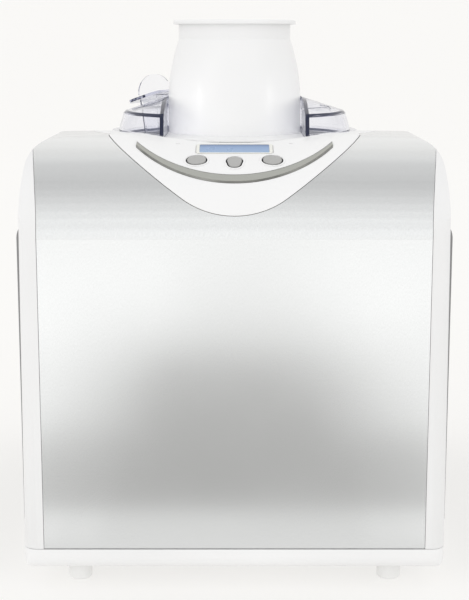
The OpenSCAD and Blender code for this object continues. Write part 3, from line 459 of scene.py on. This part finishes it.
def backdrop():
    """A pale floor that curves up into a wall far behind."""
    n = Nodes("backdrop")
    # Part of its brightness is its own, so the machine's shadow on it stays faint
    half_tone = tuple(c * 0.4 for c in PALE)
    n.link(n.blend(n.spread(n.noise(3, 2), 0, 1), tuple(c * 0.995 for c in half_tone), half_tone),
           n.shader.inputs["Base Color"])
    n.set(Roughness=0.9, Specular_IOR_Level=0.1, Emission_Color=(*PALE, 1), Emission_Strength=0.6)
    half, front, turn, radius, top, steps = 9.0, -7.0, 3.0, 2.0, 7.0, 24
    profile = [(front, 0.0), (turn, 0.0)]
    for i in range(1, steps + 1):
        a = math.pi / 2 * i / steps
        profile.append((turn + radius * math.sin(a), radius * (1 - math.cos(a))))
    profile.append((turn + radius, top))
    verts = [(x, y, z) for y, z in profile for x in (-half, half)]
    faces = [(2 * i, 2 * i + 1, 2 * i + 3, 2 * i + 2) for i in range(len(profile) - 1)]
    mesh = bpy.data.meshes.new("floor")
    mesh.from_pydata(verts, [], faces)
    mesh.polygons.foreach_set("use_smooth", [True] * len(faces))
    mesh.materials.append(n.material)
    floor = bpy.data.objects.new("floor", mesh)
    scene.collection.objects.link(floor)


def lamp(name, kind, power, at, aim):
    """A lamp at one place, aimed at another."""
    data = bpy.data.lights.new(name, kind)
    data.energy = power
    light = bpy.data.objects.new(name, data)
    light.location = at
    light.rotation_euler = (Vector(aim) - Vector(at)).to_track_quat("-Z", "Y").to_euler()
    scene.collection.objects.link(light)
    return light


def softbox(name, at, aim, size, power):
    """A rectangular area lamp."""
    light = lamp(name, "AREA", power, at, aim)
    light.data.shape = "RECTANGLE"
    light.data.size, light.data.size_y = size
    return light


backdrop()
world = bpy.data.worlds.new("studio")
world.use_nodes = True
world.node_tree.nodes["Background"].inputs["Color"].default_value = (1, 1, 1, 1)
world.node_tree.nodes["Background"].inputs["Strength"].default_value = 0.985
scene.world = world
softbox("front_left", (-1.9, -2.2, 1.3), (0, 0, 0.2), (1.6, 1.6), 7)
softbox("front_right", (1.9, -2.2, 1.3), (0, 0, 0.2), (1.6, 1.6), 3)

# Cards that only the steel sheet reflects. They shape the soft bands of a brushed front.
steel_only = bpy.data.collections.new("steel_only")
steel_only.objects.link(frame["nodes"]["front_panel"])


def card(name, at, aim, size, glow):
    """A card of the given radiance that only the steel reflects."""
    power = glow * math.pi * size[0] * size[1]
    softbox(name, at, aim, size, power).light_linking.receiver_collection = steel_only


def floor_card(name, x, ahead, glow):
    """A card on the floor, ahead of the machine's face between two distances."""
    at = ((x[0] + x[1]) / 2, -0.2 - (ahead[0] + ahead[1]) / 2, 0.004)
    card(name, at, (at[0], at[1] + 1e-4, 1), (x[1] - x[0], ahead[1] - ahead[0]), glow)


floor_card("far_card", (-0.7, 0.7), (0.72, 3.6), 1.12)
# Strips from the middle outwards, so that the dark middle fades into the bright sides.
# Each is inner edge, outer edge, and the glow of its far and near part.
STRIPS = ((0.1, 0.13, 0.48, 0.12), (0.13, 0.17, 0.78, 0.22), (0.17, 0.7, 1.15, 0.5))
for side, gain in ((-1, 1.0), (1, 0.95)):
    for start, end, mid_glow, near_glow in STRIPS:
        strip = sorted((side * start, side * end))
        floor_card("side_card", strip, (0.36, 0.72), mid_glow * gain)
        floor_card("side_near_card", strip, (0.08, 0.36), near_glow * gain)
    floor_card("side_far_card", sorted((side * 0.085, side * 0.7)), (0.72, 1.6), 0.3 * gain)
floor_card("near_card", (-0.3, 0.3), (0.01, 0.15), 0.7)

# A dome of cards over the curved top, by elevation in degrees from the front, over to the back.
# Each card spans a little more than its step, so that no gap shows as a line.
DOME_CENTRE, DOME_R, CARD_HALF_ANGLE = (0, -0.17, 0.27), 2.2, math.radians(7.4)
DOME = (
    (3, 1.1), (18, 0.93), (32, 0.82), (46, 0.68), (60, 0.54), (74, 0.42), (88, 0.33),
    (102, 0.26), (116, 0.38), (130, 0.64), (144, 0.7), (158, 0.42), (172, 0.15),
)
for elevation, glow in DOME:
    a = math.radians(elevation)
    at = Vector(DOME_CENTRE) + DOME_R * Vector((0, -math.cos(a), math.sin(a)))
    card("dome_card", at, DOME_CENTRE, (2.6, 2 * DOME_R * math.tan(CARD_HALF_ANGLE)), glow)

# Two narrow lamps reach the tower's neck, where the clear lid and the deck shut out the soft light
tower_only = bpy.data.collections.new("tower_only")
for name in ("motor_housing", "motor_base"):
    tower_only.objects.link(frame["nodes"][name])
for side, watts in ((-1, 2.3), (1, 1.8)):
    at, aim = (side * 0.34, -0.24, 0.33), (side * 0.037, -0.07, 0.302)
    light = lamp("neck_lamp", "SPOT", watts, at, aim)
    light.data.shadow_soft_size = 0.03
    light.data.spot_size = math.radians(11)
    light.data.spot_blend = 1
    light.light_linking.receiver_collection = tower_only
